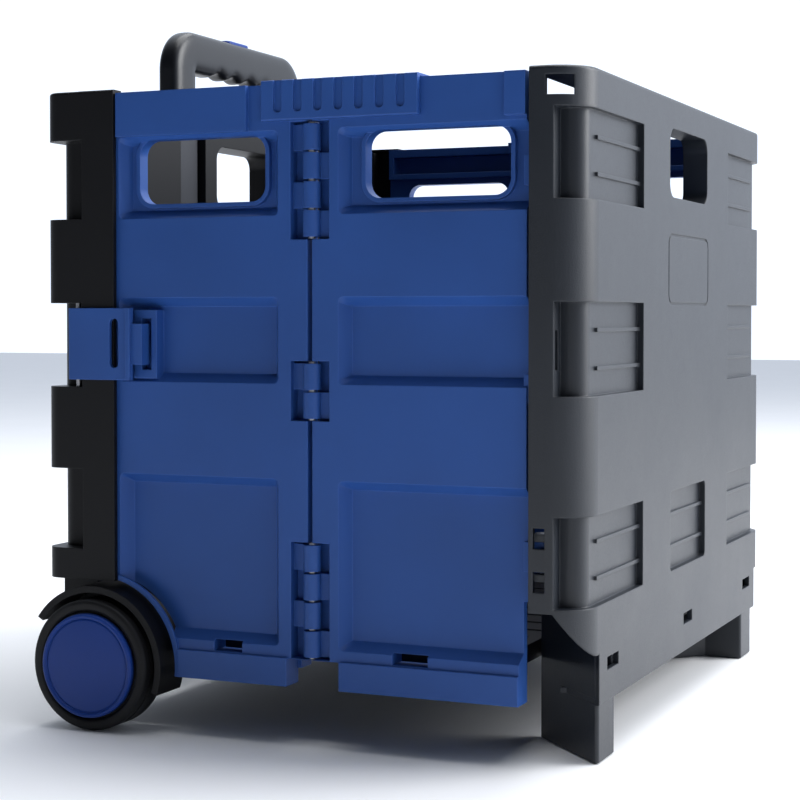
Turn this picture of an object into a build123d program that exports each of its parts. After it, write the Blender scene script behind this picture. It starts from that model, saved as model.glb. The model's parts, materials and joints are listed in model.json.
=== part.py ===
from build123d import *
import os

# Folding crate cart: two end panels, four hinged side-wall halves, a lift-up floor, a telescopic
# handle and two wheels. Millimetres. +X is the front, +Z is up, z = 0 is the ground and the left
# side is +Y. The origin is on the ground under the middle of the cart.

os.makedirs("parts", exist_ok=True)

# ---------------------------------------------------------------- overall sizes
crate_length = 334.0      # over the outer faces of the two end panels
crate_width = 420.0       # over the end panels
crate_top = 371.5         # top of the end panels
wheel_r = 38.0
panel_bottom = wheel_r - 6.2    # underside of the front panel, which keeps the floor above the axle
mudguard_tail = 2.0       # how far the mudguards stand out behind the rear panel

front_x = (crate_length + mudguard_tail) / 2
rear_x = front_x - crate_length
half_width = crate_width / 2
mid_z = (crate_top + panel_bottom) / 2

# ---------------------------------------------------------------- mouldings
skin = 3.2                # wall of the end panels
liner = 3.0               # wall behind each corner recess
front_corner_r = 23.0
rear_corner_r = 10.0
front_depth = 31.0        # front panel, along X
rear_depth = 24.0         # boxed thickness of the rear panel
rear_flange = 48.0        # rear panel's side flanges, along X
front_in = front_x - front_depth
rear_in = rear_x + rear_depth

# corner recesses, as heights (bottom, top)
front_bands = [
    (panel_bottom + 54.2, panel_bottom + 102.7),
    (mid_z - 3.65, mid_z + 46.35),
    (crate_top - 69.5, crate_top - 21.5),
]
rear_bands = [
    (panel_bottom + 72.2, panel_bottom + 119.2),
    (mid_z - 2.65, mid_z + 46.35),
    (crate_top - 74.5, crate_top - 28.5),
]
recess_side = 11.5        # recess depth measured in from the side
recess_face = 4.0         # recess depth measured in from the end face
recess_reach = 109.0      # how far a recess runs across the end face from the side
recess_r = 9.0
front_step = 17.5         # recess step behind the front face
rear_step = 26.5          # recess step ahead of the rear face
rib_proud = 1.6
rib_high = 2.2

# hand windows of the end panels
hand_half = 45.0
hand_low = crate_top - 59.5
hand_high = crate_top - 18.0
hand_r = 9.0
collar = 2.6              # wall round a hand window

# small features of the end panels
centre_half = 42.0        # half width of the recess in the middle of the front face
rib_end = half_width - 29.0
badge_half = 48.0
badge_rows = (mid_z + 45.35, mid_z + 88.35)
badge_r = 7.0
groove = 1.6              # width of the groove round the badge
groove_deep = 0.8
slot_out = half_width - 51.0    # outer drain slots
slot_half = 10.5
slot_rows = (panel_bottom + 17.2, panel_bottom + 24.2)
brace_y = (75.0, half_width - 60.0)    # stiffening ribs inside the front panel
brace_half = 1.2
bay_web = 3.0             # webs between the hollow bays of the rear panel
bay_breaks = (110.0, 200.0, 290.0)
bay_middle = half_width - 64.0

# ---------------------------------------------------------------- side walls
wall_y = half_width - 4.0         # outer plane of the side walls
wall_thick = 13.0
wall_skin = 2.6
wall_in = wall_y - wall_thick
beam_proud = 3.0                  # beam blocks stand out of the wall plane
beam_in = wall_y - 16.0
beam_low = crate_top - 25.0
beam_high = crate_top - 2.0
hinge_x = (front_x + rear_x) / 2 + 6.0
hinge_gap = 3.0                   # between the two halves of a side
wall_back = rear_x + 45.0
wall_front = front_x - 33.5
flange_clear = rear_x + rear_flange + 1.0    # what stands proud of a wall starts here
wall_foot = panel_bottom + 1.2
lip_top = panel_bottom + 23.2
centre_foot = panel_bottom + 16.7
pocket_deep = 8.0
pocket_slope = 32.0
window_low = crate_top - 66.5
window_high = crate_top - 29.5
window_r = 9.0
rim_wide = 2.4
rim_proud = 1.4
pocket_rows = [
    (lip_top, mid_z - 52.65),
    (mid_z + 0.85, mid_z + 49.35),
    (crate_top - 75.0, beam_low - 2.5),
]

# centre hinge
knuckle_r = 5.0
knuckle_y = wall_y - 3.0
pin_r = 2.0
pin_gap = 0.08
knuckle_gap = 1.4
relief = 12.0                     # half width of the relief round the knuckles
hinge_groups = [
    (panel_bottom + 17.0, 4),
    (mid_z - 19.65, 2),
    (crate_top - 88.5, 4),
]
knuckle_long = 14.6

# corner hinges, between the walls and the end panels
corner_y = wall_y - 6.0
corner_r = 4.5
corner_tab = 16.0
corner_gap = 0.6
ear_high = 4.0
rear_pivot = rear_x + 37.0
front_pivot = front_in + 5.2
corner_rows = [panel_bottom + 73.0, mid_z - 8.0, crate_top - 62.0]

# beam lock
lock_long = 94.8
lock_travel = 48.0
lock_x = hinge_x - 28.3
lock_thick = 3.6
lock_gap = 0.35

# ---------------------------------------------------------------- wheels
wheel_x = rear_x + wheel_r - 1.0
wheel_in = half_width - 12.5
wheel_wide = 24.0
tyre_wall = 7.0
tread_rows = (wheel_in + 7.5, wheel_in + 15.0)    # shallow grooves round the tyre
tread_deep = 1.2
tread_wide = 1.5
spokes = 6
spoke_wide = 2.4
hub_boss_r = 11.0
cap_r = 30.4
cap_high = 3.0
axle_r = 4.0
axle_gap = 0.06
guard_r = wheel_r + 3.5
guard_thick = 4.0
guard_out = wheel_in + 19.0
web_in = half_width - 20.0
web_thick = 3.0
wall_arc_r = wheel_r + 12.0

# ---------------------------------------------------------------- handle
leg_y = 76.0
leg_wide = 27.0
leg_deep = 16.4
leg_x = rear_x + 12.25
tube_wall = 1.1
tube_gap = 0.4
outer_low = panel_bottom + 16.0
outer_high = crate_top - 1.5
collar_high = 4.5
grip_low = outer_high + 1.0 + collar_high + 0.5
grip_high = crate_top + 55.5
grip_bar = 27.0
grip_r = 25.0
finger_waves = 4
wave_pitch = 22.0
wave_r = 12.5
wave_drop = 8.5           # from the bar down to the centres of the waves
button_long = 30.0
button_wide = 9.0
button_travel = 3.0

# ---------------------------------------------------------------- floor
floor_top = panel_bottom + 24.2
floor_thick = 10.0
floor_skin = 2.6
floor_half = wall_in - 7.0
floor_front = front_in - 1.0
floor_axis_x = rear_in + 8.0
floor_axis_z = floor_top - 2.0
ear_y = (half_width - 88.0, half_width - 58.0)
ear_thick = 4.0
floor_columns = 5         # hollow bays under the floor, along X
floor_rows = 4
bar_pitch = 26.0          # raised bars on top of the floor
bar_half = 2.0
bar_proud = 0.8

# ---------------------------------------------------------------- fold latch
latch_low = rear_bands[1][0] + 4.4
latch_high = rear_bands[1][1] - 3.0
latch_axis_x = rear_x + 21.5
latch_axis_y = half_width - 4.0
latch_barrel_r = 3.4
latch_pin_r = 1.5
latch_plate = 2.6
latch_front = rear_x + 61.5

# ---------------------------------------------------------------- feet
foot_in = half_width - 59.0
foot_out = half_width - 26.0
foot_setback = 1.5
foot_deep = 27.0          # the part of a foot that stands under the panel
foot_reach = 50.0         # how far its slanting wall runs back under the floor
foot_wall_top = panel_bottom + 46.0
foot_wall = 6.0           # across the slanting wall, along Y
notch_gap = 2.0           # between the floor's notches and the slanting walls
notch_x = front_x - foot_reach - notch_gap
notch_y = foot_out - foot_reach - foot_wall - notch_gap
stem_x = (front_x - foot_deep + 5.0, front_x - foot_deep + 10.0)   # stem of a foot, through the panel
stem_y = (foot_in + 3.0, foot_in + 8.0)

SIDES = (("right", -1), ("left", 1))


def block(x_range, y_range, z_range, mode=Mode.ADD):
    """A box between the given limits."""
    lows, highs = zip(sorted(x_range), sorted(y_range), sorted(z_range))
    centre = [(low + high) / 2 for low, high in zip(lows, highs)]
    with Locations(tuple(centre)):
        Box(*[high - low for low, high in zip(lows, highs)], mode=mode)


def rect(u_range, v_range, radius=0.0, mode=Mode.ADD):
    """A rectangle between the given limits, with rounded corners if a radius is given."""
    (u0, u1), (v0, v1) = sorted(u_range), sorted(v_range)
    with Locations(((u0 + u1) / 2, (v0 + v1) / 2)):
        if radius > 0:
            RectangleRounded(u1 - u0, v1 - v0, radius, mode=mode)
        else:
            Rectangle(u1 - u0, v1 - v0, mode=mode)


def end_plane(x):
    """A plane facing +X whose own axes are Y and Z."""
    return Plane(origin=(x, 0, 0), x_dir=(0, 1, 0), z_dir=(1, 0, 0))


def side_plane(y):
    """A plane facing -Y on the right side, at that distance out, whose own axes are X and Z."""
    return Plane(origin=(0, -y, 0), x_dir=(1, 0, 0), z_dir=(0, -1, 0))


def save(piece, name):
    """Labels a finished part and writes it as its own STEP file."""
    piece.label = name
    export_step(piece, f"parts/{name}.step")


def both_sides(piece, name):
    """Writes a right-hand part and its mirror image on the left."""
    save(piece, f"{name}_right")
    with BuildPart() as other:
        mirror(piece, about=Plane.XZ)
    save(other.part, f"{name}_left")


def corner_recess(face_x, step_x, inset, bands):
    """The air (inset 0) or the air with its liner (inset > 0) of one end panel's corner recesses.

    In plan each is an L round a corner: the space outside a rounded core, from the step on the
    side to the reach across the face. Both corners of the panel are made."""
    out = 1 if face_x > step_x else -1
    far = face_x + out * (30.0 if inset == 0 else 0.0)
    side = half_width + (30.0 if inset == 0 else 0.0)
    core_face = face_x - out * (recess_face + inset)
    core_side = half_width - recess_side - inset
    near = half_width - recess_reach - inset
    with BuildPart() as air:
        for low, high in bands:
            with BuildSketch(Plane.XY.offset(low - inset)):
                for sign in (-1, 1):
                    rect((step_x - out * inset, far), (sign * near, sign * side))
                with BuildSketch(mode=Mode.PRIVATE) as core:
                    rect((core_face - out * 80, core_face), (-core_side, core_side), recess_r - inset)
                add(core.sketch, mode=Mode.SUBTRACT)
            extrude(amount=high - low + 2 * inset)
    return air.part


def centre_recess(face_x, out, band, depth):
    """The air of the shallow recess in the middle of an end panel's face."""
    with BuildPart() as air:
        with BuildSketch(end_plane(face_x - out * depth)):
            rect((-centre_half, centre_half), band, 3)
        extrude(amount=out * 30)
    return air.part


def corner_ears(pivot_x, post_x):
    """The ears of the corner hinges of one end panel, reaching to its side and its post."""
    with BuildPart() as ears:
        for sign in (-1, 1):
            for row in corner_rows:
                for low in (row - corner_gap - ear_high, row + corner_tab + corner_gap):
                    with BuildSketch(Plane.XY.offset(low)):
                        with Locations((pivot_x, sign * corner_y)):
                            Circle(corner_r)
                        rect((pivot_x - corner_r + 0.7, pivot_x + corner_r - 0.7),
                             (sign * corner_y, sign * (half_width - skin + 0.5)))
                        if post_x != pivot_x:
                            rect((post_x, pivot_x), (sign * (corner_y - 3), sign * (half_width - skin)))
                        with Locations((pivot_x, sign * corner_y)):
                            Circle(pin_r + pin_gap, mode=Mode.SUBTRACT)
                    extrude(amount=ear_high)
    return ears.part


def rib_rows(bands):
    """The heights of the two ribs in each recess."""
    for low, high in bands:
        yield low + 0.29 * (high - low)
        yield low + 0.7 * (high - low)


# ================================================================ front panel
front_air = corner_recess(front_x, front_x - front_step, 0, front_bands)
front_ears = corner_ears(front_pivot, front_pivot)
front_liner = corner_recess(front_x, front_x - front_step, liner, front_bands)

with BuildPart() as front_cavity:
    with BuildSketch(Plane.XY.offset(panel_bottom + skin)):
        rect((front_in - 60, front_x - skin), (-half_width + skin, half_width - skin),
             front_corner_r - skin)
    extrude(amount=crate_top - panel_bottom - 2 * skin)
    add(front_liner, mode=Mode.SUBTRACT)
    block((front_x - recess_face - liner, front_x), (-45, 45),
          (front_bands[0][0] - liner, front_bands[0][1] + liner), Mode.SUBTRACT)
    block((front_x - 16, front_x), (-hand_half - collar, hand_half + collar),
          (hand_low - collar, hand_high + collar), Mode.SUBTRACT)

# the lower corners are cut back to a slanting wall that runs down into the feet
with BuildPart() as front_corner_cut:
    for sign in (-1, 1):
        with BuildSketch(Plane.XY):
            with BuildLine():
                Polyline((front_x + 5, sign * foot_out), (front_x, sign * foot_out),
                         (front_x - foot_deep, sign * (foot_out - foot_deep)),
                         (front_in - 10, sign * (foot_out - foot_deep)),
                         (front_in - 10, sign * (half_width + 5)),
                         (front_x + 5, sign * (half_width + 5)), close=True)
            make_face()
        extrude(amount=crate_top)
    with BuildSketch(side_plane(half_width + 10)):
        with BuildLine():
            Polyline((front_x + 6, panel_bottom - 5), (front_x + 6, panel_bottom + 27),
                     (front_x, panel_bottom + 28), (front_x - 18, panel_bottom + 52),
                     (front_in - 11, panel_bottom + 52), (front_in - 11, panel_bottom - 5),
                     close=True)
        make_face()
    extrude(amount=-(crate_width + 20), mode=Mode.INTERSECT)

with BuildPart() as front_panel:
    with BuildSketch(Plane.XY.offset(panel_bottom)):
        rect((front_in - 60, front_x), (-half_width, half_width), front_corner_r)
    extrude(amount=crate_top - panel_bottom)
    fillet(front_panel.faces().sort_by(Axis.Z)[-1].edges(), 2.0)
    fillet(front_panel.faces().sort_by(Axis.Z)[0].edges(), 1.2)
    block((front_in - 70, front_in), (-half_width - 5, half_width + 5),
          (panel_bottom - 5, crate_top + 5), Mode.SUBTRACT)
    add(front_cavity.part, mode=Mode.SUBTRACT)
    add(front_air, mode=Mode.SUBTRACT)
    add(centre_recess(front_x, 1, front_bands[0], recess_face), mode=Mode.SUBTRACT)
    with BuildSketch(end_plane(front_x - 20)):
        rect((-hand_half, hand_half), (hand_low, hand_high), hand_r)
    extrude(amount=40, mode=Mode.SUBTRACT)
    # raised ribs in the recesses
    for rib_z in rib_rows(front_bands):
        for sign in (-1, 1):
            with BuildSketch(end_plane(front_x - recess_face)):
                rect((sign * (half_width - recess_reach), sign * rib_end),
                     (rib_z - rib_high / 2, rib_z + rib_high / 2))
            extrude(amount=rib_proud)
    for rib_z in rib_rows(front_bands[:1]):
        with BuildSketch(end_plane(front_x - recess_face)):
            rect((-centre_half, centre_half), (rib_z - rib_high / 2, rib_z + rib_high / 2))
        extrude(amount=rib_proud)
    # shallow groove round the blank badge
    with BuildSketch(end_plane(front_x - groove_deep)):
        rect((-badge_half, badge_half), badge_rows, badge_r)
        rect((groove - badge_half, badge_half - groove), (badge_rows[0] + groove, badge_rows[1] - groove),
             badge_r - groove, Mode.SUBTRACT)
    extrude(amount=5, mode=Mode.SUBTRACT)
    # three small drain slots near the bottom edge
    for slot_y in (-slot_out, 0, slot_out):
        block((front_x - 10, front_x + 5), (slot_y - slot_half, slot_y + slot_half), slot_rows,
              Mode.SUBTRACT)
    # openings in the side flanges: top band, catch slot and hinge windows
    for sign in (-1, 1):
        block((front_x - 22, front_x - 8), (sign * (half_width - 12), sign * (half_width + 5)),
              (crate_top - 15.5, crate_top - 5), Mode.SUBTRACT)
        block((front_x - front_step - 6, front_x - front_step + 2),
              (sign * (half_width - 8.5), sign * (half_width - 3.6)),
              (mid_z + 10.35, mid_z + 31.35), Mode.SUBTRACT)
        for low in (panel_bottom + 63, panel_bottom + 86):
            block((front_in + 2.5, front_in + 9), (sign * (half_width - 6), sign * (half_width + 5)),
                  (low, low + 11), Mode.SUBTRACT)
    add(front_corner_cut.part, mode=Mode.SUBTRACT)
    for sign in (-1, 1):
        block(stem_x, (sign * stem_y[0], sign * stem_y[1]),
              (panel_bottom - 1, panel_bottom + skin + 1), Mode.SUBTRACT)
    # upright stiffening ribs on the inside
    for brace in (-brace_y[1], -brace_y[0], *brace_y):
        span = (brace - brace_half, brace + brace_half)
        block((front_in + 12, front_x - skin), span, (panel_bottom + skin, front_bands[0][0] - liner))
        block((front_in + 12, front_x - recess_face - liner), span,
              (front_bands[0][0] - liner, crate_top - skin))
    add(front_ears)
save(front_panel.part, "front_panel")

# ================================================================ rear panel
rear_air = corner_recess(rear_x, rear_x + rear_step, 0, rear_bands)
rear_ears = corner_ears(rear_pivot, rear_x + rear_step + liner - 0.5)
channel = (leg_y - leg_wide / 2 - 2.5, leg_y + leg_wide / 2 + 2.5)
flange_low = 2 * wheel_r + 10.0     # the side flanges stop above the mudguards
core_low = panel_bottom
bay_floors = [height + bay_web for height in bay_breaks]

with BuildPart() as rear_panel:
    with BuildSketch(Plane.XY.offset(flange_low)):
        rect((rear_x, rear_x + rear_flange + 60), (-half_width, half_width), rear_corner_r)
    extrude(amount=crate_top - flange_low)
    fillet(rear_panel.faces().sort_by(Axis.Z)[-1].edges(), 1.6)
    block((rear_x + rear_flange, rear_x + rear_flange + 70), (-half_width - 5, half_width + 5),
          (flange_low - 5, crate_top + 5), Mode.SUBTRACT)
    block((rear_in, rear_x + rear_flange + 5), (-half_width + skin, half_width - skin),
          (flange_low - 5, crate_top + 5), Mode.SUBTRACT)
    block((rear_x, rear_in), (-web_in, web_in), (core_low, flange_low))
    # posts that close the corner recesses, and the thin top rim of the side flanges
    for sign in (-1, 1):
        block((rear_in - 1, rear_x + rear_step + liner),
              (sign * (half_width - recess_side - liner), sign * (half_width - skin + 0.5)),
              (rear_bands[0][0] - liner, crate_top - skin))
    add(rear_air, mode=Mode.SUBTRACT)
    for sign in (-1, 1):
        block((rear_in, rear_x + rear_flange), (sign * (half_width - 9), sign * (half_width - 1)),
              (beam_high + 0.2, crate_top))
    # hollow bays between the outer and inner skins
    for sign in (-1, 1):
        for near, far in ((channel[1] + collar, bay_middle), (bay_middle + 4, half_width - 27.0)):
            for low, high in zip((core_low + skin, *bay_floors), (*bay_breaks, crate_top - skin)):
                block((rear_x + skin + recess_face, rear_in - skin), (sign * near, sign * far),
                      (low, high), Mode.SUBTRACT)
    for low, high in zip((core_low + 40, *bay_floors), (*bay_breaks[:2], hand_low - 2 * collar)):
        block((rear_x + skin, rear_in - skin), (-channel[0] + collar, channel[0] - collar),
              (low, high), Mode.SUBTRACT)
    # open channels for the handle tubes
    for sign in (-1, 1):
        block((rear_x + skin - 0.8, rear_in + 5), (sign * channel[0], sign * channel[1]),
              (outer_low - 2, crate_top + 5), Mode.SUBTRACT)
    with BuildSketch(end_plane(rear_x - 10)):
        rect((-hand_half, hand_half), (hand_low, hand_high), hand_r)
    extrude(amount=60, mode=Mode.SUBTRACT)
    # axle plates with their bosses
    for sign in (-1, 1):
        for plate_y in (web_in - 3, half_width - 70.0, 60.0):
            with BuildSketch(side_plane(-sign * plate_y + 2)):
                with Locations((wheel_x, wheel_r)):
                    Circle(axle_r + 3.5)
                rect((rear_in - 1, wheel_x), (wheel_r - 6, wheel_r + 6))
            extrude(amount=-4)
    # ears of the floor hinge
    for sign in (-1, 1):
        for near in (ear_y[0] - ear_thick, ear_y[1]):
            with BuildSketch(side_plane(-sign * (near + ear_thick / 2) + ear_thick / 2)):
                with Locations((floor_axis_x, floor_axis_z)):
                    Circle(5.5)
                rect((rear_in - 1, floor_axis_x), (floor_axis_z - 5.5, floor_axis_z + 5.5))
            extrude(amount=-ear_thick)
    with BuildSketch(side_plane(half_width)):
        with Locations((wheel_x, wheel_r)):
            Circle(axle_r + axle_gap)
        with Locations((floor_axis_x, floor_axis_z)):
            Circle(pin_r + pin_gap)
    extrude(amount=-crate_width, mode=Mode.SUBTRACT)
    # pin holes of the fold latches, in the two mouldings above and below the latch recess
    for sign in (-1, 1):
        with BuildSketch(Plane.XY.offset(rear_bands[1][0] - 6)):
            with Locations((latch_axis_x, sign * latch_axis_y)):
                Circle(latch_pin_r + pin_gap)
        extrude(amount=rear_bands[1][1] - rear_bands[1][0] + 12, mode=Mode.SUBTRACT)
    add(rear_ears)
save(rear_panel.part, "rear_panel")


# ================================================================ side walls
def wall_outline(front):
    """The wall's outline in its own plane, X along and Z up: one half of a side."""
    near = hinge_x + hinge_gap / 2 if front else hinge_x - hinge_gap / 2
    far = wall_front if front else wall_back
    lip = (hinge_x + 18.4, wall_front - 3.3) if front else (wall_back + 36, hinge_x - 14)
    rect((near, far), (centre_foot, beam_high))
    rect(lip, (wall_foot, lip_top))
    if not front:
        with Locations((wheel_x, wheel_r)):
            Circle(wall_arc_r, mode=Mode.SUBTRACT)


def pocket_spans(front):
    """The X limits of the pockets and of the window of one half."""
    if front:
        return (hinge_x + 17.4, wall_front + 20), (hinge_x + 32, wall_front - 10.5)
    return (wall_back + 4.5, hinge_x - 19.7), (wall_back + 16, hinge_x - 30)


def wall_half(front):
    """One half of the right side wall, as a part."""
    pocket_x, window_x = pocket_spans(front)
    near = hinge_x + hinge_gap / 2 if front else hinge_x - hinge_gap / 2
    step = 1 if front else -1
    with BuildPart() as wall:
        with BuildSketch(side_plane(wall_y)):
            wall_outline(front)
        extrude(amount=-wall_thick)
        # outer pockets with sloping walls
        for low, high in pocket_rows:
            with BuildSketch(side_plane(wall_y)):
                rect(pocket_x, (low, high), 3.0)
            extrude(amount=-pocket_deep, taper=pocket_slope, mode=Mode.SUBTRACT)
        # hollows behind the bands, the stile and the beam, seen from inside the crate
        bands = [(pocket_rows[0][1], pocket_rows[1][0]), (pocket_rows[1][1], pocket_rows[2][0])]
        inner_x = (near + step * (relief + 5), (wall_front if front else wall_back) - step * 4)
        for low, high in bands:
            with BuildSketch(side_plane(wall_in)):
                rect(inner_x, (low + 2, high - 2), 2.0)
            extrude(amount=wall_thick - wall_skin, taper=12, mode=Mode.SUBTRACT)
        # beam: a deeper rail along the top, proud at its blocks
        beam_far = wall_front if front else wall_back
        block((near, beam_far), (-beam_in, -wall_in - 0.01), (beam_low, beam_high))
        if front:
            block((lock_x + lock_long + lock_travel + 1.2, wall_front),
                  (-wall_y - beam_proud, -wall_y), (beam_low, beam_high))
        else:
            block((flange_clear, lock_x - 10.2), (-wall_y - beam_proud, -wall_y),
                  (beam_low - 2.5, beam_high))
        block((near + step * (relief + 3), beam_far - step * 4), (-wall_y + 4, -beam_in + 3),
              (beam_low + 4, beam_high - 6), Mode.SUBTRACT)
        block((near + step * (relief + 3), beam_far - step * 4), (-beam_in - 4, -beam_in + 5),
              (beam_low + 4, beam_high - 6), Mode.SUBTRACT)
        # ledge that the floor rests on, and the lip along the bottom
        ledge = ((hinge_x + 18, notch_x - 2) if front
                 else (wheel_x + wall_arc_r + 2, hinge_x - 12))
        block(ledge, (-wall_in, -floor_half + 6),
              (floor_top - floor_thick - 5, floor_top - floor_thick - 0.4))
        lip = (hinge_x + 18.4, wall_front - 3.3) if front else (wheel_x + wall_arc_r + 2, hinge_x - 14)
        block(lip, (-wall_y - 2.2, -wall_y), (wall_foot, lip_top - 6))
        # rimmed hand window
        with BuildSketch(side_plane(wall_y - pocket_deep)):
            rect((window_x[0] - rim_wide, window_x[1] + rim_wide),
                 (window_low - rim_wide, window_high + rim_wide), window_r + rim_wide)
        extrude(amount=rim_proud + 2.0)
        with BuildSketch(side_plane(wall_y + 5)):
            rect(window_x, (window_low, window_high), window_r)
        extrude(amount=-40, mode=Mode.SUBTRACT)
        # slot for the floor's edge
        slot = (hinge_x + 50, hinge_x + 71) if front else (hinge_x - 61, hinge_x - 43)
        block(slot, (-wall_y - 5, -wall_in + 5), (lip_top - 5.5, lip_top + 1), Mode.SUBTRACT)
        if front:
            # the lower front corner steps in above the foot
            block((wall_front - 4, wall_front + 1), (-wall_y - 5, -wall_in + 5),
                  (wall_foot - 1, panel_bottom + 56), Mode.SUBTRACT)
        else:
            # raised rim round the wheel arch, and the slot that the fold latch hooks into
            with BuildSketch(side_plane(wall_y)):
                with Locations((wheel_x, wheel_r)):
                    Circle(wall_arc_r + 3)
                    Circle(wall_arc_r, mode=Mode.SUBTRACT)
                rect((flange_clear, wheel_x + wall_arc_r + 4), (wall_foot, wheel_r + wall_arc_r + 4),
                     mode=Mode.INTERSECT)
            extrude(amount=1.8)
            block((latch_front - 2, latch_front + 13), (-wall_y, -wall_y + 9),
                  (latch_low + 1, latch_high - 1))
            block((latch_front + 3, latch_front + 9.5), (-wall_y - 1, -wall_y + 6),
                  (latch_low + 6, latch_high - 6), Mode.SUBTRACT)
        # tabs of the corner hinge
        pivot, edge = (front_pivot, wall_front) if front else (rear_pivot, wall_back)
        for row in corner_rows:
            with BuildSketch(Plane.XY.offset(row)):
                with Locations((pivot, -corner_y)):
                    Circle(corner_r)
                rect((pivot, edge - step * 2), (-corner_y - corner_r, -corner_y + corner_r))
                with Locations((pivot, -corner_y)):
                    Circle(pin_r + pin_gap, mode=Mode.SUBTRACT)
            extrude(amount=corner_tab)
        # relief and knuckles of the centre hinge
        for start, count in hinge_groups:
            tall = count * (knuckle_long + knuckle_gap) + knuckle_gap
            block((near - step, near + step * (relief - hinge_gap / 2)),
                  (-wall_y - 5, -knuckle_y + knuckle_r + 0.8), (start, start + tall), Mode.SUBTRACT)
        for start, count in hinge_groups:
            for index in range(count):
                if (index % 2 == 0) == front:
                    low = start + knuckle_gap + index * (knuckle_long + knuckle_gap)
                    with BuildSketch(Plane.XY.offset(low)):
                        with Locations((hinge_x, -knuckle_y)):
                            Circle(knuckle_r)
                        rect((hinge_x + step * 2, near + step * (relief - hinge_gap / 2 + 0.5)),
                             (-knuckle_y + 1, -knuckle_y + knuckle_r))
                        with Locations((hinge_x, -knuckle_y)):
                            Circle(pin_r + pin_gap, mode=Mode.SUBTRACT)
                    extrude(amount=knuckle_long)
    return wall.part


both_sides(wall_half(False), "wall_rear")
both_sides(wall_half(True), "wall_front")

with BuildPart() as centre_hinge_pins:
    for sign in (-1, 1):
        for start, count in hinge_groups:
            with BuildSketch(Plane.XY.offset(start + 0.4)):
                with Locations((hinge_x, sign * knuckle_y)):
                    Circle(pin_r)
            extrude(amount=count * (knuckle_long + knuckle_gap) + knuckle_gap - 0.8)
save(centre_hinge_pins.part, "centre_hinge_pins")

with BuildPart() as corner_hinge_pins:
    for sign in (-1, 1):
        for pivot_x in (rear_pivot, front_pivot):
            for row in corner_rows:
                with BuildSketch(Plane.XY.offset(row - corner_gap - ear_high)):
                    with Locations((pivot_x, sign * corner_y)):
                        Circle(pin_r)
                extrude(amount=corner_tab + 2 * (corner_gap + ear_high))
save(corner_hinge_pins.part, "corner_hinge_pins")

# ================================================================ beam locks
lock_out = wall_y + lock_gap + lock_thick
lock_low = beam_low + 2.5
lock_high = beam_high + lock_gap + 1.6
groove_pitch = 12.4

with BuildPart() as beam_lock:
    block((lock_x, lock_x + lock_long), (-lock_out, -wall_y - lock_gap), (lock_low, lock_high))
    fillet(beam_lock.edges().filter_by(Axis.X).group_by(Axis.Y)[0], 1.0)
    block((lock_x, lock_x + lock_long), (-wall_y - lock_gap, -beam_in + lock_gap + 2.2),
          (beam_high + lock_gap, lock_high))
    block((lock_x, lock_x + lock_long), (-beam_in + lock_gap, -beam_in + lock_gap + 2.2),
          (beam_high - 6, beam_high + lock_gap))
    with BuildSketch(side_plane(lock_out)):
        for index in range(7):
            centre = lock_x + lock_long / 2 + (index - 3) * groove_pitch
            rect((centre - 2.6, centre + 2.6), (lock_low + 4.5, lock_high + 3), 2.4)
    extrude(amount=-1.7, mode=Mode.SUBTRACT)
both_sides(beam_lock.part, "beam_lock")

# ================================================================ fold latches
plate_in = half_width + 0.4
plate_out = plate_in + latch_plate

with BuildPart() as fold_latch:
    with BuildSketch(Plane.XY.offset(latch_low)):
        with Locations((latch_axis_x, -latch_axis_y)):
            Circle(latch_barrel_r)
        rect((latch_axis_x - latch_barrel_r + 0.6, latch_axis_x + latch_barrel_r - 0.6),
             (-plate_out, -latch_axis_y))
        rect((latch_axis_x, latch_front), (-plate_out, -plate_in))
        with Locations((latch_axis_x, -latch_axis_y)):
            Circle(latch_pin_r + pin_gap, mode=Mode.SUBTRACT)
    extrude(amount=latch_high - latch_low)
    fillet(fold_latch.edges().filter_by(Axis.Z).group_by(Axis.Y)[0], 1.0)
    # raised free edge, tongue and hook
    block((latch_front - 3, latch_front), (-plate_out - 1.6, -plate_out), (latch_low, latch_high))
    block((latch_front - 1, latch_front + 7), (-plate_out + 0.4, -plate_in - 0.3),
          (latch_low + 9, latch_high - 9))
    block((latch_front + 5, latch_front + 7), (-plate_in - 0.5, -wall_y + 2.4),
          (latch_low + 9, latch_high - 9))
    # finger slot
    with BuildSketch(side_plane(plate_out + 3)):
        rect((latch_front - 14.5, latch_front - 8.5), (latch_low + 7, latch_high - 6), 2.9)
    extrude(amount=-8, mode=Mode.SUBTRACT)
both_sides(fold_latch.part, "fold_latch")

with BuildPart() as latch_pins:
    for sign in (-1, 1):
        with BuildSketch(Plane.XY.offset(rear_bands[1][0] - 5)):
            with Locations((latch_axis_x, sign * latch_axis_y)):
                Circle(latch_pin_r)
        extrude(amount=rear_bands[1][1] - rear_bands[1][0] + 10)
save(latch_pins.part, "latch_pins")

# ================================================================ wheels and axle
hub_r = wheel_r - tyre_wall
tyre_out = wheel_in + wheel_wide
hub_out = tyre_out - 2.0
cap_out = hub_out + cap_high + 2.0
clip_y = hub_out - 5.5

with BuildPart() as wheel_tyre:
    with BuildSketch(side_plane(wheel_in)):
        with Locations((wheel_x, wheel_r)):
            Circle(wheel_r)
            Circle(hub_r, mode=Mode.SUBTRACT)
    extrude(amount=wheel_wide)
    fillet(wheel_tyre.edges().filter_by(GeomType.CIRCLE).group_by(SortBy.RADIUS)[-1], 3.0)
    # shallow tread grooves
    for near in tread_rows:
        with BuildSketch(side_plane(near)):
            with Locations((wheel_x, wheel_r)):
                Circle(wheel_r + 1)
                Circle(wheel_r - tread_deep, mode=Mode.SUBTRACT)
        extrude(amount=tread_wide, mode=Mode.SUBTRACT)
both_sides(wheel_tyre.part, "wheel_tyre")

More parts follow.
